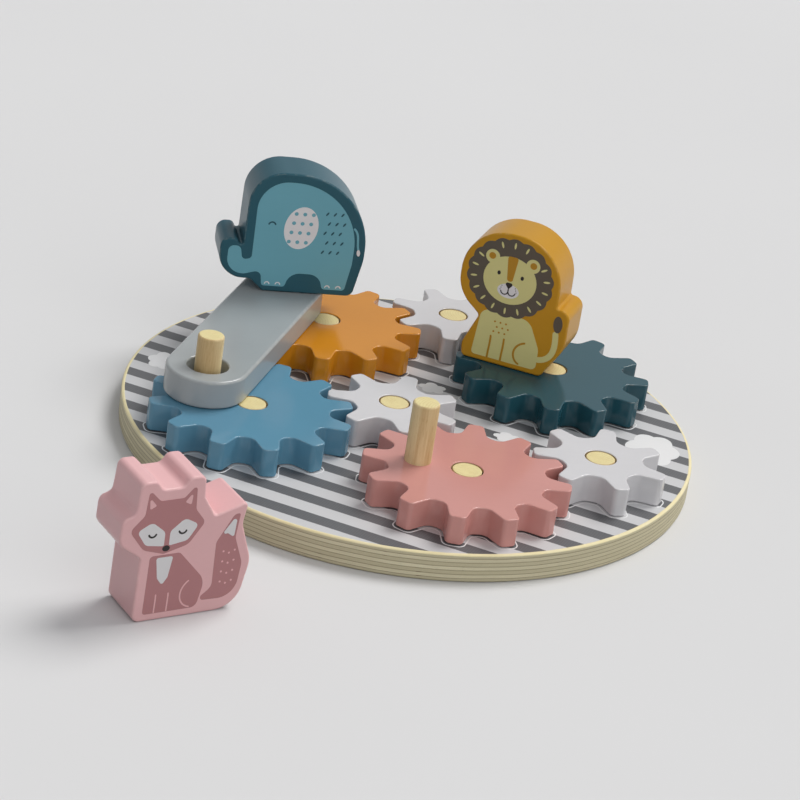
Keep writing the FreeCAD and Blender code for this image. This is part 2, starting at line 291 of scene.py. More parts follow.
class Shell:
    """Collects vertices, faces, finishes and a rim mask, then makes a mesh. Where the vertices
    have normals it is smooth."""

    def __init__(self):
        self.points, self.normals, self.rim = [], [], []
        self.faces, self.finishes = [], []

    def loop(self, points, normals=(), rim=0.0):
        """Adds one loop of vertices and returns their numbers."""
        first = len(self.points)
        self.points += points
        self.normals += normals
        self.rim += [rim] * len(points)
        return list(range(first, len(self.points)))

    def face(self, corners, finish):
        self.faces.append(tuple(corners))
        self.finishes.append(finish)

    def bridge(self, lower, upper, finish, gap=None):
        """Joins two loops of the same length with a band of quads, one of which may be left out."""
        for k in range(len(lower)):
            after = (k + 1) % len(lower)
            if k != gap:
                self.face((lower[k], lower[after], upper[after], upper[k]), finish)

    def cap(self, loops, finish, facing):
        """Closes flat loops, the first one outside and the others holes in it."""
        numbers = [number for loop in loops for number in loop]
        polygons = [[self.points[number] for number in loop] for loop in loops]
        for corners in tessellate_polygon(polygons):
            corners = [numbers[c] for c in corners]
            a, b, c = (self.points[number] for number in corners)
            if (b - a).cross(c - a).dot(facing) < 0:
                corners.reverse()
            self.face(corners, finish)

    def stamp(self, outlines, low, high, finish):
        """A flat patch with sharp upright walls. Its outlines after the first are holes."""
        bottoms, tops = [], []
        for outline in outlines:
            bottoms.append(self.loop([point.to_3d() + UP * low for point in outline]))
            tops.append(self.loop([point.to_3d() + UP * high for point in outline]))
            self.bridge(bottoms[-1], tops[-1], finish)
        self.cap(bottoms, finish, -UP)
        self.cap(tops, finish, UP)

    def make(self, name, materials, place=Matrix()):
        """The finished object, moved to its place in the frame."""
        mesh = bpy.data.meshes.new(name)
        mesh.from_pydata([place @ point for point in self.points], [], self.faces)
        mesh.polygons.foreach_set("material_index", self.finishes)
        for material in materials:
            mesh.materials.append(material)
        mesh.attributes.new("rim", "FLOAT", "POINT").data.foreach_set("value", self.rim)
        if self.normals:
            mesh.shade_smooth()
            turn = place.to_3x3()
            mesh.normals_split_custom_set_from_vertices([turn @ normal for normal in self.normals])
        mesh.validate(clean_customdata=False)
        piece = bpy.data.objects.new(name, mesh)
        bpy.context.scene.collection.objects.link(piece)
        return piece


def easing(radius, steps):
    """Steps of a quarter round from the flat to the wall: (inset, drop, angle turned)."""
    if not radius:
        return [(0, 0, RIGHT_ANGLE)]
    angles = [RIGHT_ANGLE * k / steps for k in range(steps + 1)]
    return [(radius * (1 - math.sin(a)), radius * (1 - math.cos(a)), a) for a in angles]


def plate_walls(shell, outline, low, high, eases, finish, steps=5, gap=None):
    """The walls of a plate along one outline, eased (low, high). Returns its loops, upwards."""
    lower, upper = (easing(ease, steps) for ease in eases)
    rows = [(inset, low + drop, angle, -1) for inset, drop, angle in lower]
    rows += [(inset, high - drop, angle, 1) for inset, drop, angle in reversed(upper)]
    loops = []
    for index, (inset, level, angle, lean) in enumerate(rows):
        points = [(p - n * inset).to_3d() + UP * level for p, n in outline]
        normals = [n.to_3d() * math.sin(angle) + UP * lean * math.cos(angle) for p, n in outline]
        on_rim = 0.05 < math.cos(angle) < 0.95
        loops.append(shell.loop(points, normals, 1.0 if on_rim else 0.0))
        if index == len(lower):
            shell.bridge(loops[-2], loops[-1], finish, gap)
        elif index:
            shell.bridge(loops[-2], loops[-1], 0)
    return loops


def plate(name, outline, low, high, rounding, materials, holes=()):
    """An eased plate. Its holes are (outline, rounding), and their walls have the last finish."""
    shell = Shell()
    bottoms, tops = [], []
    last = len(materials) - 1
    for line, ease, finish in [(outline, rounding, 0)] + [(*hole, last) for hole in holes]:
        loops = plate_walls(shell, line, low, high, (ease, ease), finish)
        bottoms.append(loops[0])
        tops.append(loops[-1])
    shell.cap(bottoms, 0, -UP)
    shell.cap(tops, 0, UP)
    return shell.make(name, materials)


def post(name, centre, radius, low, high, eases, materials, sides=72, steps=4):
    """A round post, eased (low, high). Its upper end has the last finish."""
    shell = Shell()
    loops = plate_walls(shell, ring((0, 0), radius, sides), low, high, eases, 0, steps)
    last = len(materials) - 1
    shell.finishes[-sides:] = [last] * sides  # the innermost band of the upper easing
    shell.face(reversed(loops[0]), 0)
    shell.face(loops[-1], last)
    return shell.make(name, materials, Matrix.Translation(Vector(centre).to_3d()))


# Shader nodes --------------------


class Value:
    """An output of a node. It takes + - * / % as a number does, and each makes a Math node."""

    def __init__(self, web, socket):
        self.web, self.socket = web, socket

    def __add__(self, other):
        return self.web.math("ADD", self, other)

    def __sub__(self, other):
        return self.web.math("SUBTRACT", self, other)

    def __rsub__(self, other):
        return self.web.math("SUBTRACT", other, self)

    def __mul__(self, other):
        return self.web.math("MULTIPLY", self, other)

    def __truediv__(self, other):
        return self.web.math("DIVIDE", self, other)

    def __mod__(self, other):
        return self.web.math("MODULO", self, other)

    def __abs__(self):
        return self.web.math("ABSOLUTE", self)

    __radd__, __rmul__ = __add__, __mul__


class Web:
    """Builds a node tree. What goes into a node is a Value, a socket or a plain value."""

    def __init__(self, tree):
        self.tree = tree

    def put(self, value, socket):
        """Links an output into a socket, or sets a plain value on it."""
        if isinstance(value, Value):
            value = value.socket
        if isinstance(value, bpy.types.NodeSocket):
            self.tree.links.new(value, socket)
        elif socket.type == "RGBA":
            socket.default_value = (*tuple(value)[:3], 1.0)
        else:
            socket.default_value = value

    def node(self, kind, *values, named=(), **settings):
        """A new node, with values on its first sockets and on the named ones."""
        made = self.tree.nodes.new(kind)
        for key, value in settings.items():
            setattr(made, key, value)
        for value, socket in zip(values, made.inputs):
            self.put(value, socket)
        for key, value in dict(named).items():
            self.put(value, made.inputs[key])
        return made

    def out(self, kind, *values, output=0, **settings):
        """One output of a new node."""
        return Value(self, self.node(kind, *values, **settings).outputs[output])

    def math(self, operation, *values):
        return self.out("ShaderNodeMath", *values, operation=operation)

    def clamp(self, value):
        return self.out("ShaderNodeClamp", value)

    def step(self, value, low, high, first=0.0, last=1.0):
        """Goes smoothly from first to last while value goes from low to high."""
        return self.out("ShaderNodeMapRange", value, low, high, first, last,
                        interpolation_type="SMOOTHSTEP")

    def moved(self, vector, offset):
        return self.out("ShaderNodeVectorMath", vector, offset, operation="ADD")

    def scaled(self, vector, scale=(1, 1, 1), turn=(0, 0, 0), shift=(0, 0, 0)):
        return self.out("ShaderNodeMapping", vector, shift, turn, scale)

    def joined(self, x, y, z):
        return self.out("ShaderNodeCombineXYZ", x, y, z)

    def parts(self, vector):
        made = self.node("ShaderNodeSeparateXYZ", vector)
        return [Value(self, socket) for socket in made.outputs]

    def radius(self, x, y):
        return self.math("SQRT", x * x + y * y)

    def noise(self, vector, scale=1.0, detail=2.0, roughness=0.5, output="Fac"):
        named = {"Vector": vector, "Scale": scale, "Detail": detail, "Roughness": roughness}
        return self.out("ShaderNodeTexNoise", output=output, named=named)

    def mix(self, share, a, b):
        made = self.node("ShaderNodeMix", share, data_type="RGBA")
        self.put(a, made.inputs[6])
        self.put(b, made.inputs[7])
        return Value(self, made.outputs[2])

    def group(self, name, **values):
        """A shared node group, built the first time, with values on its sockets."""
        tree = bpy.data.node_groups.get(name) or GROUPS[name](name)
        return self.node("ShaderNodeGroup", named=values, node_tree=tree).outputs


def new_group(name, given):
    """An empty group that makes a colour, a roughness and a height. Returns its web and ends."""
    tree = bpy.data.node_groups.new(name, "ShaderNodeTree")
    kinds = {0: "NodeSocketFloat", 3: "NodeSocketVector", 4: "NodeSocketColor"}
    for key, value in given.items():
        kind = kinds[len(value) if isinstance(value, tuple) else 0]
        tree.interface.new_socket(name=key, in_out="INPUT", socket_type=kind).default_value = value
    for key, kind in (("Colour", kinds[4]), ("Roughness", kinds[0]), ("Height", kinds[0])):
        tree.interface.new_socket(name=key, in_out="OUTPUT", socket_type=kind)
    web = Web(tree)
    return web, web.node("NodeGroupInput").outputs, web.node("NodeGroupOutput").inputs


def paint_group(name):
    """Semi-gloss paint on sanded wood: slight mottling, faint grain, rims paler as wear and painted
    highlight.
    """
    web, given, out = new_group(name, {
        "Vector": (0, 0, 0), "Colour": (0.5, 0.5, 0.5, 1), "Seed": 0.0, "Mottling": 0.04,
        "Grain": 0.03, "Wear": 0.1, "Gloss": 0.32,
    })
    place = web.moved(given["Vector"], web.joined(given["Seed"], given["Seed"], 0.0))
    cloud = web.noise(place, 45.0, 3.0, 0.55)
    streak = web.noise(web.scaled(place, (45.0, 900.0, 900.0)), 1.0, 3.0, 0.6)
    peel = web.noise(place, 650.0, 1.0)
    level = 1.0 + (cloud - 0.5) * given["Mottling"] * 2.0 + (streak - 0.5) * given["Grain"]
    named = {"Color": given["Colour"], "Value": level}
    colour = web.out("ShaderNodeHueSaturation", named=named)
    rim = web.out("ShaderNodeAttribute", output="Fac", attribute_name="rim")
    # Paler rims, broken by noise: partly rubbed paint, partly a painted highlight on the eased
    # edges
    wear_and_highlight = rim * web.step(web.noise(place, 260.0, 4.0, 0.7), 0.42, 0.72) * given["Wear"]
    web.put(web.mix(wear_and_highlight, colour, web.mix(0.55, colour, (0.93, 0.86, 0.72))), out["Colour"])
    web.put(given["Gloss"] + (cloud - 0.5) * 0.04 + wear_and_highlight * 0.2, out["Roughness"])
    web.put(streak * 0.3 + peel * 0.5, out["Height"])
    return web.tree


def timber_group(name):
    """Bare pale hardwood. X of its vector runs along the grain; all of it is in metres."""
    web, given, out = new_group(name, {
        "Vector": (0, 0, 0), "Light": (0.8, 0.65, 0.4, 1), "Dark": (0.55, 0.38, 0.2, 1),
        "Seed": 0.0, "Figure": 0.5,
    })
    place = web.moved(given["Vector"], web.joined(*[given["Seed"]] * 3))
    wide = web.noise(web.scaled(place, (14.0, 260.0, 260.0)), 1.0, 3.0, 0.55)
    fibre = web.noise(web.scaled(place, (90.0, 2600.0, 2600.0)), 1.0, 3.0, 0.65)
    pores = web.step(web.noise(web.scaled(place, (350.0, 3200.0, 3200.0)), 1.0, 1.0), 0.62, 0.72)
    share = web.step(wide, 0.36, 0.66) * given["Figure"] + (fibre - 0.5) * 0.7 + pores * 0.28
    web.put(web.mix(web.clamp(share), given["Light"], given["Dark"]), out["Colour"])
    web.put(0.5 + fibre * 0.15, out["Roughness"])
    web.put(fibre - pores * 0.6, out["Height"])
    return web.tree


GROUPS = {"paint_on_wood": paint_group, "bare_timber": timber_group}


def new_material(name, specular):
    """A new material with its web and object coordinates."""
    material = bpy.data.materials.new(name)
    material.use_nodes = True
    shader = material.node_tree.nodes["Principled BSDF"]
    shader.inputs["Specular IOR Level"].default_value = specular
    web = Web(material.node_tree)
    return material, web, web.out("ShaderNodeTexCoord", output="Object")


def set_finish(web, colour, roughness, height, strength, distance):
    """Feeds a colour, a roughness and a bump into the material's shader."""
    shader = web.tree.nodes["Principled BSDF"]
    web.put(colour, shader.inputs["Base Color"])
    web.put(roughness, shader.inputs["Roughness"])
    bump = {"Strength": strength, "Distance": distance, "Height": height}
    web.put(web.out("ShaderNodeBump", named=bump), shader.inputs["Normal"])


def painted(name, colour, seed, mottling=0.04, grain=0.03, wear_and_highlight=0.2, gloss=0.14, specular=0.4):
    """Paint on wood, its rims paler partly as wear and partly as a painted highlight."""
    material, web, place = new_material(name, specular)
    made = web.group("paint_on_wood", Vector=place, Colour=colour, Seed=seed, Mottling=mottling,
                     Grain=grain, Wear=wear_and_highlight, Gloss=gloss)
    set_finish(web, made["Colour"], made["Roughness"], made["Height"], 0.12, 0.3 * MM)
    return material


def printed(name, colour, seed):
    """Ink on a painted face: flatter and a little duller than the paint round it."""
    return painted(name, colour, seed, grain=0.035, wear_and_highlight=0.0, gloss=0.38, specular=0.3)


def inks(figure, seed, **colours):
    """A figure's inks, each with its own mottling."""
    return [printed(f"{figure}_{name}", colour, seed + 2 * k)
            for k, (name, colour) in enumerate(colours.items())]


def dimmed(colour, share):
    """A colour with each part multiplied."""
    return tuple(part * share for part in colour)


def dowel_wood(name, colours, seed, painted_shade=1.0):
    """Bare dowel side: the grain runs up the dowel; a share below 1 darkens its light wood as
    painted shade.
    """
    material, web, place = new_material(name, 0.35)
    made = web.group("bare_timber", Vector=web.scaled(place, turn=(0, RIGHT_ANGLE, 0)),
                     Light=dimmed(colours.dowel_light, painted_shade), Dark=colours.dowel_dark,
                     Seed=seed, Figure=0.55)
    set_finish(web, made["Colour"], made["Roughness"], made["Height"], 0.25, 0.3 * MM)
    return material


def end_grain(name, colours, centre, seed):
    """The sawn end of a dowel: off-centre growth rings, rays and open pores."""
    material, web, place = new_material(name, 0.3)
    pith = ray(seed * 9) * 9 * MM  # middle of the growth rings, outside the dowel
    place = web.scaled(place, shift=(pith.x - centre.x, pith.y - centre.y, seed))
    wavy = web.noise(place, 300.0, output="Color")
    bend = web.out("ShaderNodeVectorMath", wavy, named={"Scale": 1.2 * MM}, operation="SCALE")
    x, y, _ = web.parts(web.moved(place, bend))
    growth = web.math("FRACT", web.radius(x, y) * 850.0)
    pores = web.step(web.noise(place, 2600.0, 1.0), 0.6, 0.7)
    share = web.step(growth, 0.5, 0.95) * 0.2 + pores * 0.22 + web.noise(place, 240.0) * 0.35
    wood = web.mix(web.clamp(share), colours.end_light, colours.end_dark)
    set_finish(web, wood, 0.62, pores, 0.2, 0.2 * MM)
    return material


def board_material(sizes, colours):
    """Plywood: a printed striped face, a bare eased rim and plies round the edge."""
    material, web, place = new_material("birch_board", 0.45)
    x, y, z = web.parts(place)
    # Stripes: distance across them, as a share of one pitch
    slope, pitch = sizes.stripe_bearing, sizes.stripe_pitch
    ragged = (web.noise(place, 1400.0) - 0.5) * (0.25 * MM)
    across = y * math.cos(slope) - x * math.sin(slope) + ragged - sizes.stripe_offset
    off_middle = abs(web.math("FRACT", across / pitch + 100.0) - 0.5)
    half_dark, blur = sizes.stripe_width / pitch / 2, 0.12 * MM / pitch
    dark = web.step(off_middle, half_dark - blur, half_dark + blur, 1.0, 0.0)
    # Woven look of the print: fine threads that lean both ways
    threads = []
    for lean in (0.9, -0.9):
        named = {"Vector": web.scaled(place, turn=(0, 0, slope + lean)), "Scale": 310.0,
                 "Distortion": 0.6}
        threads.append(web.out("ShaderNodeTexWave", output="Fac", named=named,
                               wave_type="BANDS", bands_direction="X"))
    melange = web.noise(web.scaled(place, (500.0, 2400.0, 1.0), (0, 0, slope)))
    weft = threads[0] * threads[1] * 0.5 + melange * 0.5
    pale = web.mix(weft, dimmed(colours.print_light, 0.93), colours.print_light)
    deep = web.mix(weft, dimmed(colours.print_dark, 0.78), dimmed(colours.print_dark, 1.35))
    ink = web.mix(dark, pale, deep)
    # Plies: thickness counted in sheets, each turned a quarter against the next
    level = z * (sizes.plies / BOARD_TOP) + (web.noise(place, 26.0, 3.0, 0.6) - 0.5) * 0.5
    sheet, within = web.math("FLOOR", level), web.math("FRACT", level)
    angle = web.math("ARCTAN2", y, x)
    side_on = abs(web.math("SINE", angle + sheet % 2.0 * RIGHT_ANGLE))
    around = web.joined(angle * sizes.board_radius, z, sheet * 0.37)
    grain = web.group("bare_timber", Vector=around, Light=colours.ply_light,
                      Dark=colours.ply_dark, Seed=3.0, Figure=0.45)
    ends = web.noise(web.scaled(around, (1900.0, 2300.0, 1.0)))
    tone = (side_on * 0.85 + ends * 0.4) * 0.85
    plies = web.mix(tone, grain["Colour"], colours.ply_dark)
    gaps = web.step(web.noise(web.scaled(around, (120.0, 2.0, 1.0))), 0.66, 0.7)
    near_joint = web.step(web.math("MINIMUM", within, 1.0 - within), 0.03, 0.16, 1.0, 0.0)
    glue = near_joint * (0.62 + gaps * 0.38)
    plies = web.mix(glue, plies, colours.glue_line)
    # Which of them shows: print on the flat top, bare face veneer on the rim, plies below it
    print_end = sizes.board_radius - sizes.board_rounding - sizes.bare_margin
    reach = web.radius(x, y) + (web.noise(place, 90.0) - 0.5) * (0.5 * MM)
    inside = web.step(reach, print_end - 0.1 * MM, print_end + 0.1 * MM, 1.0, 0.0)
    on_top = web.step(z, BOARD_TOP - 0.12 * MM, BOARD_TOP - 0.04 * MM)
    on_rim = web.step(z, BOARD_TOP - 0.8 * MM, BOARD_TOP - 0.5 * MM)
    under = web.step(z, 0.04 * MM, 0.12 * MM, 1.0, 0.0)
    veneer = web.group("bare_timber", Vector=place, Light=colours.veneer, Dark=colours.ply_light,
                       Seed=7.0, Figure=0.35)
    bare = web.mix(web.math("MAXIMUM", on_rim, under), plies, veneer["Colour"])
    inked = on_top * inside
    grooves = glue * 1.5 * (1.0 - on_top)
    height = grain["Height"] * (1.0 - inked) - grooves + weft * inked * 0.15
    set_finish(web, web.mix(inked, bare, ink), 0.62 - inked * 0.2, height, 0.35, 0.3 * MM)
    return material


# Sizes and colours a user may change --------------------


def length(name, about, size):
    """A length, given in millimetres."""
    return FloatProperty(name=name, description=about, default=size * MM, unit="LENGTH",
                         precision=5)


def angle(name, about, degrees):
    return FloatProperty(name=name, description=about, default=math.radians(degrees),
                         subtype="ANGLE")


def count(name, about, default):
    return IntProperty(name=name, description=about, default=default, min=3)


def colour(name, about, *levels):
    """A colour, given as it is picked on a screen, from 0 to 255."""
    parts = [level / 255 for level in levels]
    linear = [p / 12.92 if p <= 0.04045 else ((p + 0.055) / 1.055) ** 2.4 for p in parts]
    return FloatVectorProperty(name=name, description=about, default=linear, subtype="COLOR",
                               min=0.0, max=1.0)


class GearToyBoard(bpy.types.PropertyGroup):
    """Sizes of the board and its print."""

    board_radius: length("Radius", "Half the board's width", 120)
    board_rounding: length("Edge rounding", "Radius of the eased rim", 1.1)
    bare_margin: length("Bare margin", "Flat bare wood outside the print", 0.25)
    plies: count("Plies", "Sheets in the plywood", 7)
    stripe_pitch: length("Stripe pitch", "From one dark stripe to the next", 14.4)
    stripe_width: length("Stripe width", "Width of a dark stripe", 6.9)
    stripe_offset: length("Stripe offset", "Where the pattern starts across the board", -2.0)
    stripe_bearing: angle("Stripe bearing", "Which way the stripes run", -24.5)
    guide_gap: length("Guide gap", "From a disc's teeth to the white line round it", 0.75)
    guide_width: length("Guide width", "Width of the white line", 0.5)


class GearToyGears(bpy.types.PropertyGroup):
    """Sizes of the toothed discs."""

    large_teeth: count("Large teeth", "Teeth of a large disc", 12)
    small_teeth: count("Small teeth", "Teeth of a small disc", 7)
    large_root: length("Large root", "Radius at the foot of a large disc's teeth", 32.11)
    small_root: length("Small root", "Radius at the foot of a small disc's teeth", 17.87)
    tip_width: length("Tip width", "Width of a tooth at its tip", 6.4)
    large_base: length("Large tooth base", "Width of a large disc's tooth at its foot", 10.8)
    small_base: length("Small tooth base", "Width of a small disc's tooth at its foot", 9.4)
    tip_round: length("Tip round", "Corner radius of a tooth's tip", 2.2)
    large_root_round: length("Large root round", "Corner radius between large teeth", 4.0)
    small_root_round: length("Small root round", "Corner radius between small teeth", 4.8)
    edge_round: length("Edge rounding", "Radius of the eased rims", 0.55)
    bore_radius: length("Bore radius", "Radius of the hole for the spindle", 6.5)
    bore_round: length("Bore rounding", "Radius of the eased edge of that hole", 0.35)


class GearToyDowels(bpy.types.PropertyGroup):
    """Sizes of the spindles and pegs."""

    foot_round: length("Foot rounding", "Radius of the eased lower ends", 0.3)
    spindle_round: length("Spindle rounding", "Radius of a spindle's eased top", 0.5)
    peg_round: length("Peg rounding", "Radius of a peg's eased top", 0.9)


class GearToyArm(bpy.types.PropertyGroup):
    """Sizes of the coupling arm."""

    half_width: length("Half width", "Half the arm's width", 17)
    hole_radius: length("Hole radius", "Radius of the two peg holes", 8.5)
    edge_round: length("Edge rounding", "Radius of the eased rims", 1.3)
    hole_round: length("Hole rounding", "Radius of the eased edges of the holes", 0.8)


class GearToyFigures(bpy.types.PropertyGroup):
    """Sizes and places of the animals."""

    thickness: length("Thickness", "Thickness of a figure", 21)
    edge_round: length("Edge rounding", "Radius of the eased rims", 1.0)
    hole_radius: length("Hole radius", "Radius of the peg hole", 6)
    hole_depth: length("Hole depth", "Depth of the peg hole", 28)
    hole_ease: length("Hole bevel", "Bevel of the peg hole's mouth", 0.5)
    elephant_hole_at: length("Elephant hole", "From the base's left end to the hole", 12.3)
    lion_hole_at: length("Lion hole", "From the base's left end to the hole", 18)
    fox_hole_at: length("Fox hole", "From the base's left end to the hole", 16)
    fox_x: length("Fox X", "Where the fox stands", -94.6)
    fox_y: length("Fox Y", "Where the fox stands", -157.5)
    elephant_turn: angle("Elephant turn", "Which way the elephant faces", 6.8)
    lion_turn: angle("Lion turn", "Which way the lion faces", -22.4)
    fox_turn: angle("Fox turn", "Which way the fox faces", 28)


class GearToyColours(bpy.types.PropertyGroup):
    """Paints, inks and woods."""

    pink: colour("Pink", "Paint of the crank disc", 207, 147, 140)
    blue: colour("Blue", "Paint of the blue disc", 94, 144, 170)
    orange: colour("Orange", "Paint of the orange disc", 209, 137, 32)
    teal: colour("Teal", "Paint of the teal disc", 37, 80, 92)
    white: colour("White", "Paint of the small discs", 211, 210, 213)
    grey: colour("Grey", "Paint of the coupling arm", 162, 167, 169)
    print_light: colour("Print light", "Light stripes", 209, 209, 211)
    print_dark: colour("Print dark", "Dark stripes", 98, 99, 102)
    guide: colour("Guide line", "White lines and clouds on the board", 232, 232, 233)
    ply_light: colour("Ply light", "Long grain of the plies", 238, 230, 198)
    ply_dark: colour("Ply dark", "End grain of the plies", 199, 190, 158)
    glue_line: colour("Glue line", "Between two plies", 132, 116, 88)
    veneer: colour("Veneer", "Bare face of the board", 238, 224, 176)
    dowel_light: colour("Dowel light", "Light wood of the dowels", 229, 208, 160)
    dowel_dark: colour("Dowel dark", "Dark wood of the dowels", 187, 150, 97)
    end_light: colour("End light", "Light wood of the dowels' ends", 236, 224, 170)
    end_dark: colour("End dark", "Dark wood of the dowels' ends", 196, 168, 108)
    elephant_body: colour("Elephant", "Paint of the elephant", 48, 91, 105)
    elephant_ink: colour("Elephant print", "Light teal of the elephant's print", 110, 170, 186)
    lion_body: colour("Lion", "Paint of the lion", 195, 143, 38)
    lion_ink: colour("Lion print", "Cream of the lion's print", 214, 208, 142)
    mane_ink: colour("Mane", "Dark brown of the mane", 93, 85, 74)
    fox_body: colour("Fox", "Paint of the fox", 233, 185, 187)
    fox_ink: colour("Fox print", "Rosewood of the fox's print", 184, 130, 132)
    white_ink: colour("White ink", "White of the prints", 226, 224, 226)
    black_ink: colour("Black ink", "Eyes and noses", 46, 42, 42)


# Pieces --------------------


def tooth_bearing(node, centre, teeth):
    """Bearing of a tooth of a disc in the frame, and its reach, from its outermost corners."""
    corners = [vertex.co.to_2d() - centre for vertex in frame["nodes"][node].data.vertices]
    reach = max(corner.length for corner in corners)
    near_tip = reach - 0.3 * MM  # leaves out the flanks
    tips = [corner for corner in corners if corner.length > near_tip]
    total = sum(cmath.rect(1.0, teeth * math.atan2(tip.y, tip.x)) for tip in tips)
    return cmath.phase(total) / teeth, reach


def disc_outline(disc, gears, grow=0.0):
    """A toothed disc's outline and middle, at the bearing and tip radius that the frame gives."""
    node, stem, _, size = disc
    teeth, root, base, root_round = (
        getattr(gears, f"{size}_{key}") for key in ("teeth", "root", "base", "root_round"))
    centre = joint_place(f"{stem}_spin")
    phase, reach = tooth_bearing(node, centre, teeth)
    # The rounded tip stands a little inside the corners that it is drawn from
    tip = reach / math.cos(math.asin(gears.tip_width / 2 / reach))
    tip_half = math.asin(gears.tip_width / 2 / tip)
    base_half = math.asin(base / 2 / root)
    corners = []
    for tooth in range(teeth):
        middle = phase + math.tau * tooth / teeth
        for radius, bearing, corner_round in (
            (root, middle - base_half, root_round), (tip, middle - tip_half, gears.tip_round),
            (tip, middle + tip_half, gears.tip_round), (root, middle + base_half, root_round),
        ):
            corners.append((*(centre + ray(bearing) * radius), corner_round))
    outline = rounded(corners, TOOTH_ARC)
    return [(point + normal * grow, normal) for point, normal in outline], centre


class GEARTOY_OT_board(bpy.types.Operator):
    """Make the printed plywood board and the white lines and clouds on it"""

    bl_idname = "geartoy.board"
    bl_label = "Board"

    def execute(self, context):
        toy = context.scene.gear_toy
        sizes, colours, gears = toy.board, toy.colours, toy.gears
        eases = (sizes.board_rounding, sizes.board_rounding)
        piece = post("board", (0, 0), sizes.board_radius, 0.0, BOARD_TOP, eases,
                     [board_material(sizes, colours)], sides=240, steps=5)
        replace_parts(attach(piece, "board"), "base_board")
        ink = printed("guide_ink", colours.guide, 11.0)
        for disc in DISCS:
            gaps = (sizes.guide_gap + sizes.guide_width, sizes.guide_gap)
            outer, inner = ([point for point, _ in disc_outline(disc, gears, gap)[0]]
                            for gap in gaps)
            self.mark(f"guide_{disc[0]}", [outer, inner[::-1]], ink)
        for name, *shape in CLOUDS:
            self.mark(name, [[point * MM for point in lobed(*shape)]], ink)
        return {"FINISHED"}

    def mark(self, name, outlines, ink):
        """A thin mark printed on the board."""
        shell = Shell()
        shell.stamp(outlines, BOARD_TOP - GUIDE_INK, BOARD_TOP + GUIDE_INK, 0)
        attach(shell.make(name, [ink]), "board")


class GEARTOY_OT_gears(bpy.types.Operator):
    """Make the painted toothed discs"""

    bl_idname = "geartoy.gears"
    bl_label = "Toothed discs"

    def execute(self, context):
        toy = context.scene.gear_toy
        gears, colours = toy.gears, toy.colours
        # The bore's wood is darkened to 0.6 as painted shade inside the hole
        bore = dowel_wood("disc_bore", colours, 5.0, painted_shade=0.6)
        for number, disc in enumerate(DISCS, 1):
            node, stem, tint, _ = disc
            outline, centre = disc_outline(disc, gears)
            seed = 1.0 + 1.7 * number
            paint = painted(f"{node}_paint", getattr(colours, tint), seed)
            hole = (ring(centre, gears.bore_radius, inside=True), gears.bore_round)
            piece = plate(f"disc_{node}", outline, GEAR_BOTTOM, GEAR_TOP, gears.edge_round,
                          [paint, bore], [hole])
            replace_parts(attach(piece, f"{stem}_disc"), node)
        return {"FINISHED"}


class GEARTOY_OT_dowels(bpy.types.Operator):
    """Make the spindles in the board and the pegs on the large discs"""

    bl_idname = "geartoy.dowels"
    bl_label = "Spindles and pegs"

    def execute(self, context):
        toy = context.scene.gear_toy
        sizes, colours = toy.dowels, toy.colours
        dowels = [(node, "board", sizes.spindle_round) for node in SPINDLES]
        dowels += [(node, body, sizes.peg_round) for node, body in PEGS.items()]
        for number, (node, body, ease) in enumerate(dowels, 1):
            seed = 0.3 + 0.61 * number
            low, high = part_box(node)
            centre = box_middle(node)
            bottom = low.z if body == "board" else GEAR_TOP - TENON
            side = dowel_wood(f"{node}_side", colours, seed)
            end = end_grain(f"{node}_end", colours, centre, seed)
            piece = post(f"dowel_{node}", centre, (high.x - low.x) / 2, bottom, high.z,
                         (sizes.foot_round, ease), [side, end])
            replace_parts(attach(piece, body), node)
        return {"FINISHED"}


class GEARTOY_OT_arm(bpy.types.Operator):
    """Make the grey coupling arm"""

    bl_idname = "geartoy.arm"
    bl_label = "Coupling arm"

    def execute(self, context):
        toy = context.scene.gear_toy
        sizes, colours = toy.arm, toy.colours
        near, far = box_middle("peg_blue_gear"), box_middle("peg_orange_gear")
        along = far - near
        bearing = math.atan2(along.y, along.x)
        outline, steps = [], 32
        for centre, first in ((far, bearing - RIGHT_ANGLE), (near, bearing + RIGHT_ANGLE)):
            for k in range(steps + 1):
                out = ray(first + math.pi * k / steps)
                outline.append((centre + out * sizes.half_width, out))
        holes = [(ring(centre, sizes.hole_radius, inside=True), sizes.hole_round)
                 for centre in (near, far)]
        paint = painted("arm_paint", colours.grey, 21.0, mottling=0.05, gloss=0.22, specular=0.5)
        piece = plate("arm_bar", outline, ARM_BOTTOM, ARM_TOP, sizes.edge_round, [paint], holes)
        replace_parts(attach(piece, "arm"), "coupling_arm")
        return {"FINISHED"}


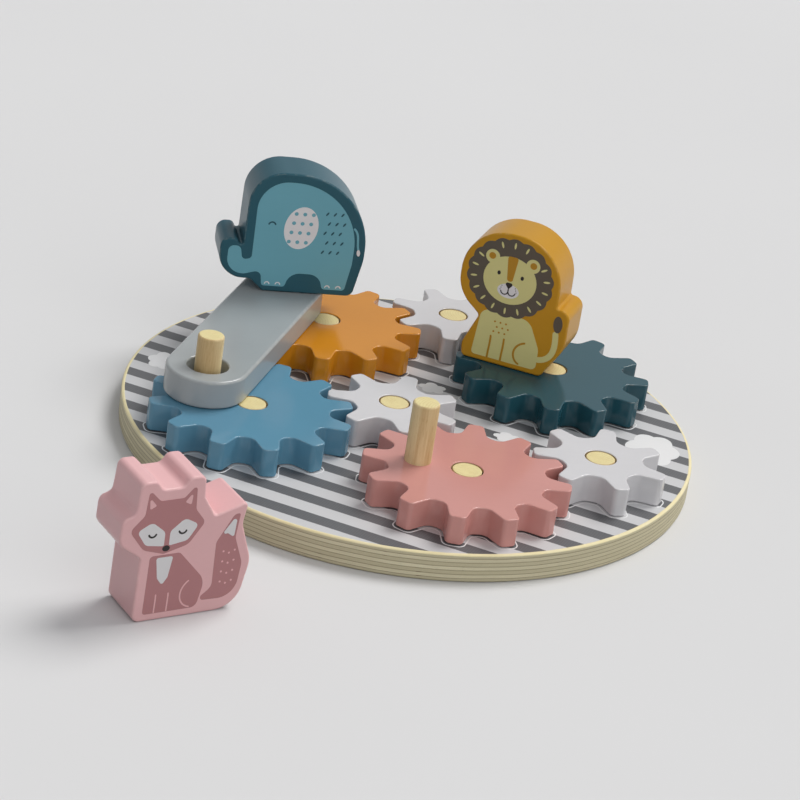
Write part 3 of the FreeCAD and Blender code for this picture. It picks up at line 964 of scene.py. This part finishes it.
def figure_body(name, corners, place, figures, hole_at, materials):
    """The thick painted figure with eased rims and a peg hole up from its base."""
    outline = [(point * MM, normal) for point, normal in rounded(corners, FIGURE_ARC)]
    half = figures.thickness / 2
    # The flat base is left open in the walls, and closed round the mouth of the hole
    down = Vector((0, -1, 0))
    after = outline[1:] + outline[:1]
    spans = [(b - a).length * (normal.y < -0.99) for (a, normal), (b, _) in zip(outline, after)]
    base = spans.index(max(spans))
    shell = Shell()
    eases = (figures.edge_round, figures.edge_round)
    loops = plate_walls(shell, outline, -half, half, eases, 0, gap=base)
    shell.cap([loops[0]], 0, -UP)
    shell.cap([loops[-1]], 0, UP)
    lower, upper = loops[len(loops) // 2 - 1:len(loops) // 2 + 1]
    end = (base + 1) % len(outline)
    mouth = [lower[base], lower[end], upper[end], upper[base]]
    rays = [Vector((out.x, 0, out.y)) for out, _ in ring((0, 0), 1.0, steps=48)]
    radius, ease, depth = figures.hole_radius, figures.hole_ease, figures.hole_depth
    rows = []
    for reach, level, lean in (
        (radius + ease, 0.0, 0.0), (radius, ease, math.pi / 4), (radius, ease, RIGHT_ANGLE),
        (radius, depth, RIGHT_ANGLE), (radius, depth, 0.0),
    ):
        points = [out * reach + Vector((hole_at, level, 0)) for out in rays]
        normals = [down * math.cos(lean) - out * math.sin(lean) for out in rays]
        rows.append(shell.loop(points, normals, 0.5 if level == 0 else 0.0))
    shell.cap([mouth, rows[0]], 0, down)
    shell.bridge(rows[1], rows[0], 0)
    shell.bridge(rows[3], rows[2], 1)
    shell.cap([rows[4]], 1, down)
    return shell.make(name, materials, place)


def figure_print(name, layers, place, figures):
    """Printed shapes on the front face. Each layer is (height rank, outline, ink)."""
    shell = Shell()
    materials = []
    face = figures.thickness / 2
    for rank, outline, ink in layers:
        if ink not in materials:
            materials.append(ink)
        outline = [point * MM for point in outline]
        if signed_area(outline) < 0:
            outline.reverse()
        low, high = face - PRINT_FOOT, face + PRINT_RANK * rank
        shell.stamp([outline], low, high, materials.index(ink))
    return shell.make(name, materials, place)


def stand_figure(name, corners, spot, floor, paint, layers):
    """Makes a figure and its print, and stands both with the peg hole over a spot."""
    toy = bpy.context.scene.gear_toy
    figures, colours = toy.figures, toy.colours
    hole_at = getattr(figures, f"{name}_hole_at")
    # From (along, up, out of the front face) into the frame
    place = Matrix.Translation((spot.x, spot.y, floor))
    place @= Matrix.Rotation(getattr(figures, f"{name}_turn"), 4, "Z")
    place @= Matrix.Rotation(RIGHT_ANGLE, 4, "X") @ Matrix.Translation((-hole_at, 0, 0))
    bore = dowel_wood(f"{name}_body_bore", colours, hole_at * 100)
    body = figure_body(f"{name}_body", corners, place, figures, hole_at, [paint, bore])
    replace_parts(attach(body, f"{name}_figure"), name)
    print_piece = figure_print(f"{name}_print", layers, place, figures)
    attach(print_piece, f"{name}_figure")


class GEARTOY_OT_elephant(bpy.types.Operator):
    """Make the elephant that rides on the arm"""

    bl_idname = "geartoy.elephant"
    bl_label = "Elephant"

    def execute(self, context):
        colours = context.scene.gear_toy.colours
        paint = painted("elephant_paint", colours.elephant_body, 31.0, gloss=0.3, specular=0.16)
        ink, white, dark = inks(
            "elephant", 33, ink=colours.elephant_ink, white_ink=colours.white_ink,
            dark_ink=dimmed(colours.elephant_body, 0.8))
        # Ear with its dots, eye, side with its dashes, toes and tail
        layers = [(1, patch(ELEPHANT_PRINT), ink), (2, oval((14.3, 30.2), 14.5, 19.5, -8), white)]
        for row, column in product(range(4), range(3)):
            level = 36.6 - 4.3 * row
            spot = (10.6 + 3.7 * column + 0.14 * (level - 30.2), level)
            layers.append((3, dot(spot, 0.85, 20), ink))
        layers.append((2, stroke(bow((1.7, 30.6), 1.5, 20, 160), 0.7), dark))
        for row, column in product(range(5), range(3)):
            spot = (24.8 + 3.3 * column + 1.3 * (row % 2), 37.5 - 4.4 * row)
            layers.append((2, oval(spot, 0.8, 2.0, -35), dark))
        for left in (1.9, 6.6, 28.2, 33.0):
            layers.append((2, stroke(bow((left + 0.7, 3.4), 1.0, 10, 170), 0.5), white))
        tail = curve((37.4, 31.5), (40.2, 29.0), (39.0, 25.0), (40.3, 21.8))
        layers += [(2, stroke(tail, 0.9), ink), (3, oval((40.4, 20.6), 1.5, 3.0, 8), white)]
        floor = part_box("elephant")[0].z
        stand_figure("elephant", ELEPHANT, box_middle("peg_orange_gear"), floor, paint, layers)
        return {"FINISHED"}


class GEARTOY_OT_lion(bpy.types.Operator):
    """Make the lion that rides on the teal disc"""

    bl_idname = "geartoy.lion"
    bl_label = "Lion"

    def execute(self, context):
        colours = context.scene.gear_toy.colours
        paint = painted("lion_paint", colours.lion_body, 41.0, gloss=0.3, specular=0.16)
        cream, brown, white, amber, black = inks(
            "lion", 43, cream_ink=colours.lion_ink, mane_ink=colours.mane_ink,
            white_ink=colours.white_ink, amber_ink=dimmed(colours.lion_body, 0.85),
            black_ink=colours.black_ink)
        # Seat, legs, thigh, chest dots and tail
        layers = [(1, patch(LION_SEAT), cream)]
        for x in (11.6, 17.6):
            leg = curve((x, 2.6), (x, 6), (x + 0.4, 9), (x + 0.2, 12.5))
            layers.append((2, stroke(leg, 0.9), amber))
        thigh = curve((25.5, 3.2), (21.5, 5.0), (21.8, 11.5), (27.0, 13.2))
        layers.append((2, stroke(thigh, 0.9), amber))
        for row, column in product(range(3), range(3)):
            spot = (12.6 + 2.5 * column + 1.2 * (row % 2), 19.5 - 2.3 * row)
            layers.append((2, dot(spot, 0.45, 14), amber))
        tail = curve((34.0, 7.5), (40.5, 9.0), (40.5, 15.0), (39.6, 21.0))
        layers += [(2, stroke(tail, 2.6), cream), (3, oval((39.9, 25.6), 4.0, 7.6, 4), brown)]
        # Mane, with cream petals where the ears leave room
        middle, petals = Vector((16.0, 40.3)), 18
        layers.append((2, lobed(middle, 18.4, 17.0, petals, 0.9), brown))
        ears = [middle + Vector((9.0 * side, 8.0)) for side in (-1, 1)]
        for k in range(petals):
            angle = math.tau * (k + 0.5) / petals
            out = ray(angle)
            spot = middle + Vector((out.x * 16.2, out.y * 14.9))
            if min((spot - ear).length for ear in ears) > 5.0:
                layers.append((3, oval(spot, 2.9, 0.9, math.degrees(angle)), cream))
        for side, ear in zip((-1, 1), ears):
            layers.append((4, dot(ear, 3.1, 28), cream))
            layers.append((5, dot(ear + Vector((0.2 * side, 0.2)), 1.5, 20), amber))
        # Face, blaze, muzzle, nose, mouth, eyes and whisker dots
        layers += [
            (6, oval(middle + Vector((0, -0.9)), 23.6, 21.4), cream),
            (7, patch(LION_BLAZE), amber),
            (7, oval((16.0, 34.6), 9.6, 6.4), white),
            (8, patch(LION_NOSE), black),
            (8, stroke([(16.0, 36.2), (16.0, 35.2), (16.0, 34.2)], 0.5), black),
        ]
        for side in (-1, 1):
            layers.append((8, stroke(bow((16.0 + 1.6 * side, 34.4), 1.6, 190, 350), 0.5), black))
            layers.append((7, oval((16.0 + 5.2 * side, 41.8), 1.5, 1.9), black))
            for k in (-1, 0, 1):
                spot = (16.0 + (3.3 + 0.3 * k) * side, 35.6 - 0.9 * k)
                layers.append((8, dot(spot, 0.22, 10), black))
        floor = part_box("lion")[0].z
        stand_figure("lion", LION, box_middle("peg_teal_gear"), floor, paint, layers)
        return {"FINISHED"}


class GEARTOY_OT_fox(bpy.types.Operator):
    """Make the fox that stands in front of the board"""

    bl_idname = "geartoy.fox"
    bl_label = "Fox"

    def execute(self, context):
        toy = context.scene.gear_toy
        figures, colours = toy.figures, toy.colours
        paint = painted("fox_paint", colours.fox_body, 61.0, gloss=0.3, specular=0.3)
        ink, white, black, blush = inks(
            "fox", 63, ink=colours.fox_ink, white_ink=colours.white_ink,
            black_ink=colours.black_ink, pink_ink=colours.fox_body)
        layers = [
            (1, patch(FOX_TORSO), ink), (1, patch(FOX_TAIL), ink), (2, patch(FOX_HEAD), ink),
            (3, patch(FOX_TIP), white),
        ]
        for side in (-1, 1):
            cheek, inner = ([(FOX_FACE + x * side, y, radius) for x, y, radius in half]
                            for half in (FOX_CHEEK, FOX_INNER_EAR))
            eye = bow((FOX_FACE + 6.0 * side, 36.4), 1.5, 200, 340)
            layers += [(3, patch(cheek), white), (4, stroke(eye, 0.75), black),
                       (3, patch(inner), blush)]
        # Nose, bib, legs, thigh and tail dots
        layers += [(4, oval((FOX_FACE, 29.6), 3.0, 2.4), black), (2, patch(FOX_BIB), white)]
        for x in (5.6, 10.6):
            leg = curve((x, 3.4), (x, 6.0), (x + 0.2, 8.0), (x + 0.1, 10.6))
            layers.append((2, stroke(leg, 0.55), blush))
        thigh = curve((19.6, 3.6), (14.6, 5.0), (14.2, 11.5), (18.4, 14.6))
        layers.append((2, stroke(thigh, 0.6), blush))
        for row, column in product(range(4), range(3)):
            spot = (31.4 + 2.3 * column, 24.8 - 4.2 * row - 0.9 * (column % 2))
            layers.append((2, dot(spot, 0.42, 12), blush))
        stand_figure("fox", FOX, Vector((figures.fox_x, figures.fox_y)), 0.0, paint, layers)
        return {"FINISHED"}


class GEARTOY_OT_stage(bpy.types.Operator):
    """Make the floor, the lamps and the camera"""

    bl_idname = "geartoy.stage"
    bl_label = "Floor, lamps and camera"

    def execute(self, context):
        scene = context.scene
        scene.view_settings.view_transform = "Standard"
        self.floor(scene)
        self.lamps(scene)
        self.camera(scene)
        return {"FINISHED"}

    def floor(self, scene):
        """Pale paper, so wide that its edge isn't seen; it lights the toy less than it shows."""
        mesh = bpy.data.meshes.new("floor")
        reach = 40.0
        corners = [(-reach, -reach, 0), (reach, -reach, 0), (reach, reach, 0), (-reach, reach, 0)]
        mesh.from_pydata(corners, [], [(0, 1, 2, 3)])
        floor = bpy.data.objects.new("floor", mesh)
        scene.collection.objects.link(floor)
        material, web, place = new_material("floor_paper", 0.2)
        paper = web.mix(web.noise(place, 3.0), (0.69, 0.69, 0.70), (0.73, 0.73, 0.74))
        bounce = (0.36, 0.36, 0.36)
        kind = web.node("ShaderNodeLightPath").outputs
        seen = web.math("MAXIMUM", kind["Is Camera Ray"], kind["Is Glossy Ray"])
        seen = web.math("MAXIMUM", seen, kind["Is Transmission Ray"])
        tooth = web.noise(place, 1500.0)
        set_finish(web, web.mix(seen, bounce, paper), 0.75, tooth, 0.05, 0.2 * MM)
        mesh.materials.append(material)

    def lamps(self, scene):
        """A pale sky, a key from behind on the right, a front fill and a low strip for sheen."""
        world = bpy.data.worlds.new("studio")
        scene.world = world
        world.use_nodes = True
        web = Web(world.node_tree)
        up = web.parts(web.out("ShaderNodeTexCoord", output="Generated"))[2]
        low, high = (math.sin(math.radians(elevation)) for elevation in (5, 16))
        haze, sky = (0.71, 0.71, 0.72), (0.346, 0.353, 0.36)
        tone = web.mix(web.step(up, low, high), haze, sky)
        web.put(tone, world.node_tree.nodes["Background"].inputs[0])
        for name, strength, spread, spot in (
            ("key", 2.0, 30, (0.55, 0.45, 1.0)), ("fill", 0.7, 60, (0.65, -1.0, 0.75)),
        ):
            lamp = bpy.data.lights.new(name, "SUN")
            lamp.energy = strength
            lamp.angle = math.radians(spread)
            lamp.color = (1.0, 0.985, 0.96)
            self.hang(scene, lamp, Vector(spot))
        strip = bpy.data.lights.new("strip", "AREA")
        strip.shape = "RECTANGLE"
        strip.size, strip.size_y = 1.0, 0.6
        strip.energy = 0.4
        self.hang(scene, strip, Vector((0.1, 1.35, 0.62)))

    def hang(self, scene, lamp, spot):
        """Puts a lamp at a spot, turned to the middle of the board."""
        holder = bpy.data.objects.new(lamp.name, lamp)
        holder.location = spot
        holder.rotation_euler = (-spot).to_track_quat("-Z", "Y").to_euler()
        scene.collection.objects.link(holder)

    def camera(self, scene):
        """A long lens, a little above the toy."""
        lens = bpy.data.cameras.new("camera")
        lens.sensor_width, lens.lens = 36.0, 126.0
        lens.clip_start, lens.clip_end = 0.05, 100.0
        holder = bpy.data.objects.new("camera", lens)
        scene.collection.objects.link(holder)
        scene.camera = holder
        azimuth, elevation, roll = (math.radians(degrees) for degrees in (6, 25, 9))
        target, distance = Vector((-0.008, -0.034, 0.034)), 1.13
        back = (-ray(RIGHT_ANGLE - azimuth) * math.cos(elevation)).to_3d()
        back.z = math.sin(elevation)
        holder.location = target + back * distance
        look = (-back).to_track_quat("-Z", "Y").to_matrix()
        holder.rotation_euler = (look @ Matrix.Rotation(roll, 3, "Z")).to_euler()


class GearToySettings(bpy.types.PropertyGroup):
    """All that a user may change."""

    board: PointerProperty(type=GearToyBoard, name="Board", description="Board and its print")
    gears: PointerProperty(type=GearToyGears, name="Discs", description="Toothed discs")
    dowels: PointerProperty(type=GearToyDowels, name="Dowels", description="Spindles and pegs")
    arm: PointerProperty(type=GearToyArm, name="Arm", description="Coupling arm")
    figures: PointerProperty(type=GearToyFigures, name="Figures", description="Animals")
    colours: PointerProperty(type=GearToyColours, name="Colours", description="Paints and woods")


STEPS = (
    GEARTOY_OT_stage, GEARTOY_OT_board, GEARTOY_OT_gears, GEARTOY_OT_dowels, GEARTOY_OT_arm,
    GEARTOY_OT_elephant, GEARTOY_OT_lion, GEARTOY_OT_fox,
)


class GEARTOY_PT_panel(bpy.types.Panel):
    """Lists the steps and their sizes"""

    bl_label = "Gear Toy"
    bl_idname = "GEARTOY_PT_panel"
    bl_space_type = "VIEW_3D"
    bl_region_type = "UI"
    bl_category = "Gear Toy"

    def draw(self, context):
        toy = context.scene.gear_toy
        for step in STEPS:
            self.layout.operator(step.bl_idname)
        for part in (toy.board, toy.gears, toy.dowels, toy.arm, toy.figures, toy.colours):
            box = self.layout.box()
            for key in part.bl_rna.properties.keys():
                if key not in {"rna_type", "name"}:
                    box.prop(part, key)


CLASSES = (
    GearToyBoard, GearToyGears, GearToyDowels, GearToyArm, GearToyFigures, GearToyColours,
    GearToySettings, *STEPS, GEARTOY_PT_panel,
)


def register():
    for entry in CLASSES:
        bpy.utils.register_class(entry)
    bpy.types.Scene.gear_toy = PointerProperty(type=GearToySettings, name="Gear toy",
                                               description="Sizes and colours of the toy")


def unregister():
    del bpy.types.Scene.gear_toy
    for entry in reversed(CLASSES):
        bpy.utils.unregister_class(entry)


def main():
    """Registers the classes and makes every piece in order."""
    register()
    for step in STEPS:
        area, name = step.bl_idname.split(".")
        getattr(getattr(bpy.ops, area), name)()


if __name__ == "__main__":
    main()
